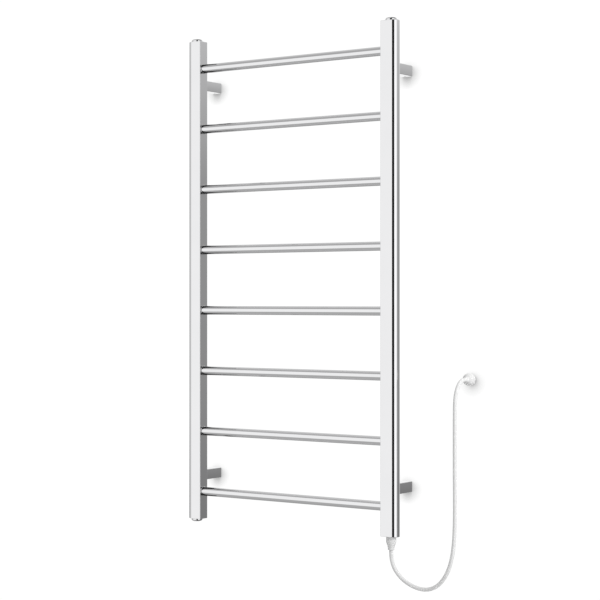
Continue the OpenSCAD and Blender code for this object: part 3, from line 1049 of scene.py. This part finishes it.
def sheet(name, corners, finish):
    """A flat stage sheet through four corners."""
    mesh = bpy.data.meshes.new(name)
    mesh.from_pydata([Vector(c) for c in corners], [], [(0, 1, 2, 3)])
    mesh.materials.append(finish)
    panel = bpy.data.objects.new(name, mesh)
    bpy.context.scene.collection.objects.link(panel)
    return panel


def level_ramp(tree, value, stops):
    """Grey levels along a value from 0 to 1, as a colour socket."""
    ramp = tree.nodes.new("ShaderNodeValToRGB")
    elements = ramp.color_ramp.elements
    while len(elements) < len(stops):
        elements.new(0.5)
    for element, (place, level) in zip(elements, stops):
        element.position = place
        element.color = (level, level, level, 1)
    tree.links.new(value, ramp.inputs["Fac"])
    return ramp.outputs["Color"]


def blend_levels(tree, factor, first, second):
    """Mix of two grey levels, each a colour socket or a number, by a factor's socket."""
    mix = tree.nodes.new("ShaderNodeMix")
    mix.data_type = "RGBA"
    colours = [socket for socket in mix.inputs if socket.type == "RGBA"]
    tree.links.new(factor, mix.inputs["Factor"])
    for socket, level in zip(colours, (first, second)):
        if isinstance(level, float):
            socket.default_value = (level, level, level, 1)
        else:
            tree.links.new(level, socket)
    return next(socket for socket in mix.outputs if socket.type == "RGBA")


def maths(tree, operation, *values):
    """Result of a maths node, from sockets and numbers."""
    node = tree.nodes.new("ShaderNodeMath")
    node.operation = operation
    for socket, value in zip(node.inputs, values):
        if isinstance(value, float):
            socket.default_value = value
        else:
            tree.links.new(value, socket)
    return node.outputs[0]


def room_of_light(world, soft_light):
    """The studio's surroundings, by the direction that light comes from.

    The eye sees even white. Matt surfaces get a soft light that grows from left to right. The
    chrome mirrors a room with a bright front, a dark bay to the right of that, a window at the
    far right, greys behind the wall with one white strip among them, and a ceiling and a floor.
    """
    world.use_nodes = True
    tree = world.node_tree
    place = tree.nodes.new("ShaderNodeTexCoord")
    parts = tree.nodes.new("ShaderNodeSeparateXYZ")
    tree.links.new(place.outputs["Generated"], parts.inputs["Vector"])
    outward = maths(tree, "MULTIPLY", parts.outputs["Y"], -1.0)
    turn = maths(tree, "ARCTAN2", parts.outputs["X"], outward)
    turn = maths(tree, "MULTIPLY_ADD", turn, 1 / (2 * math.pi), 0.5)
    height = maths(tree, "MULTIPLY_ADD", parts.outputs["Z"], 0.5, 0.5)

    def by_turn(*stops):
        """Levels by bearing in degrees: 0 is straight out from the wall, 90 to the right."""
        return level_ramp(tree, turn, [((degrees + 180) / 360, level) for degrees, level in stops])

    def by_height(*stops):
        """Levels by height above the horizon, in degrees."""
        sines = [(math.sin(math.radians(degrees)), level) for degrees, level in stops]
        return level_ramp(tree, height, [((sine + 1) / 2, level) for sine, level in sines])

    front = by_turn(
        (-95, 0.50),
        (-90, 0.59),
        (-52, 0.59),
        (-47, 0.97),
        (3, 0.97),
        (4, 0.012),
        (42, 0.012),
        (43, 1.0),
        (93, 1.0),
        (107, 0.33),
    )
    behind_left = by_height((-9, 0.16), (-7, 0.20), (-4, 0.48), (8, 0.56), (11, 0.92))
    behind_right = by_height((-30, 0.06), (-9, 0.19), (-3.4, 0.28), (4, 0.33), (9, 0.55), (12, 0.9))
    overhead = by_turn(
        (-180, 0.55),
        (-155, 0.65),
        (-130, 0.65),
        (-95, 0.60),
        (-60, 0.44),
        (12, 0.40),
        (26, 0.02),
        (140, 0.02),
        (160, 0.40),
        (180, 0.55),
    )
    underfoot = by_turn(
        (-180, 0.33),
        (-130, 0.36),
        (-60, 0.45),
        (12, 0.40),
        (26, 0.02),
        (140, 0.02),
        (160, 0.30),
        (180, 0.33),
    )
    is_left = by_turn((-95, 1.0), (-93, 0.0))
    is_right = by_turn((97, 0.0), (107, 1.0))
    is_back = by_turn((-180, 0.6), (-157, 1.0), (-140.5, 1.0), (-139.5, 0.0), (156, 0.0), (180, 0.6))
    is_high = by_height((21.5, 0.0), (27, 1.0))
    is_low = by_height((-27, 1.0), (-21.5, 0.0))
    white_back = 0.97
    mirrored = blend_levels(tree, is_left, front, behind_left)
    mirrored = blend_levels(tree, is_right, mirrored, behind_right)
    mirrored = blend_levels(tree, is_back, mirrored, white_back)
    mirrored = blend_levels(tree, is_high, mirrored, overhead)
    mirrored = blend_levels(tree, is_low, mirrored, underfoot)

    shares = ((-90, 1.0), (-10, 1.1), (45, 1.7), (90, 1.95))
    around = by_turn(*((degrees, share * soft_light) for degrees, share in shares))
    ray = tree.nodes.new("ShaderNodeLightPath")
    matt = blend_levels(tree, ray.outputs["Is Camera Ray"], around, 1.0)
    level = blend_levels(tree, ray.outputs["Is Glossy Ray"], matt, mirrored)
    tree.links.new(level, tree.nodes["Background"].inputs["Color"])
    world.cycles.sampling_method = "NONE"


class TOWELRACK_OT_studio(bpy.types.Operator):
    """Sets up the white wall, the pale floor, the lights and the cards that the chrome mirrors"""

    bl_idname = "towel_rack.studio"
    bl_label = "Studio"

    def wall_and_floor(self):
        """A white wall just behind the rack's wall plane, and a floor below the rack."""
        side, depth, behind, floor_z, wall_top = 4.0, 6.0, 0.5 * MM, -1.1, 2.4
        upright = [
            (-side, behind, floor_z),
            (side, behind, floor_z),
            (side, behind, wall_top),
            (-side, behind, wall_top),
        ]
        level = [
            (-side, -depth, floor_z),
            (side, -depth, floor_z),
            (side, depth, floor_z),
            (-side, depth, floor_z),
        ]
        wall = sheet("studio_wall", upright, paper_with_painted_shadow("wall_paint_and_painted_shadow", 0.9, 1.03))
        floor = sheet("studio_floor", level, paper_with_painted_shadow("floor_paint_and_painted_shadow", 0.82, 0.96))
        for stage in (wall, floor):
            stage.visible_glossy = False

    def cards(self):
        """Upright cards in front and to the right, each from its start to its end in plan."""
        front, right, frame_y = -1.6, 1.87, -0.14
        for name, start, end, low, high, level in (
            ("bright_card", (-2.0, front), (0.41, front), -1.0, 1.3, 0.97),
            ("dark_card", (0.41, front), (right, front), -1.4, 1.5, 0.012),
            ("window_card", (right, front), (right, frame_y), -1.3, 1.6, 1.12),
            ("window_frame", (right, frame_y), (right, 0.0), -1.3, 1.6, 0.84),
        ):
            corners = [(*start, low), (*end, low), (*end, high), (*start, high)]
            card = sheet(name, corners, card_light(name + "_light", level))
            card.visible_camera = False
            card.visible_diffuse = False
            card.visible_transmission = False
            card.visible_shadow = False

    def softbox(self, name, size, power, place):
        """A square softbox that faces the rack and doesn't show in the chrome."""
        data = bpy.data.lights.new(name, "AREA")
        data.size = size
        data.energy = power
        light = bpy.data.objects.new(name, data)
        light.location = place
        light.rotation_euler = (-Vector(place)).to_track_quat("-Z", "Y").to_euler()
        light.visible_glossy = False
        bpy.context.scene.collection.objects.link(light)

    def execute(self, context):
        scene, studio = context.scene, context.scene.towel_rack_studio
        scene.view_settings.view_transform = "Standard"
        scene.world = bpy.data.worlds.new("studio_room")
        room_of_light(scene.world, studio.soft_light)
        self.wall_and_floor()
        self.cards()
        self.softbox("side_softbox", 1.4, studio.side_power, (3.0, -0.6, 1.2))
        self.softbox("top_softbox", 1.6, studio.top_power, (0.0, -1.3, 2.3))
        return {"FINISHED"}


# ---- Panel and registration ----

OPERATORS = (
    TOWELRACK_OT_camera,
    TOWELRACK_OT_plug,
    TOWELRACK_OT_lead,
    TOWELRACK_OT_boot,
    TOWELRACK_OT_posts,
    TOWELRACK_OT_rungs,
    TOWELRACK_OT_caps,
    TOWELRACK_OT_arms,
    TOWELRACK_OT_screws,
    TOWELRACK_OT_frame_parts,
    TOWELRACK_OT_studio,
)
SETTINGS = (
    ("towel_rack_shapes", TowelRackShapes),
    ("towel_rack_finishes", TowelRackFinishes),
    ("towel_rack_studio", TowelRackStudio),
)


class TOWELRACK_PT_panel(bpy.types.Panel):
    """Settings of the towel warmer rack and the buttons that make its pieces"""

    bl_idname = "TOWELRACK_PT_panel"
    bl_label = "Towel Warmer Rack"
    bl_space_type = "VIEW_3D"
    bl_region_type = "UI"
    bl_category = "Towel Rack"

    def draw(self, context):
        for name, group in SETTINGS:
            box = self.layout.box()
            for setting in group.__annotations__:
                box.prop(getattr(context.scene, name), setting)
        for operator in OPERATORS:
            self.layout.operator(operator.bl_idname)


def register():
    for name, group in SETTINGS:
        bpy.utils.register_class(group)
        setattr(bpy.types.Scene, name, PointerProperty(type=group))
    for cls in (*OPERATORS, TOWELRACK_PT_panel):
        bpy.utils.register_class(cls)


def unregister():
    for cls in (TOWELRACK_PT_panel, *reversed(OPERATORS)):
        bpy.utils.unregister_class(cls)
    for name, group in reversed(SETTINGS):
        delattr(bpy.types.Scene, name)
        bpy.utils.unregister_class(group)


def main():
    """Builds the whole scene."""
    register()
    for operator in OPERATORS:
        group, name = operator.bl_idname.split(".")
        getattr(getattr(bpy.ops, group), name)()


if __name__ == "__main__":
    main()
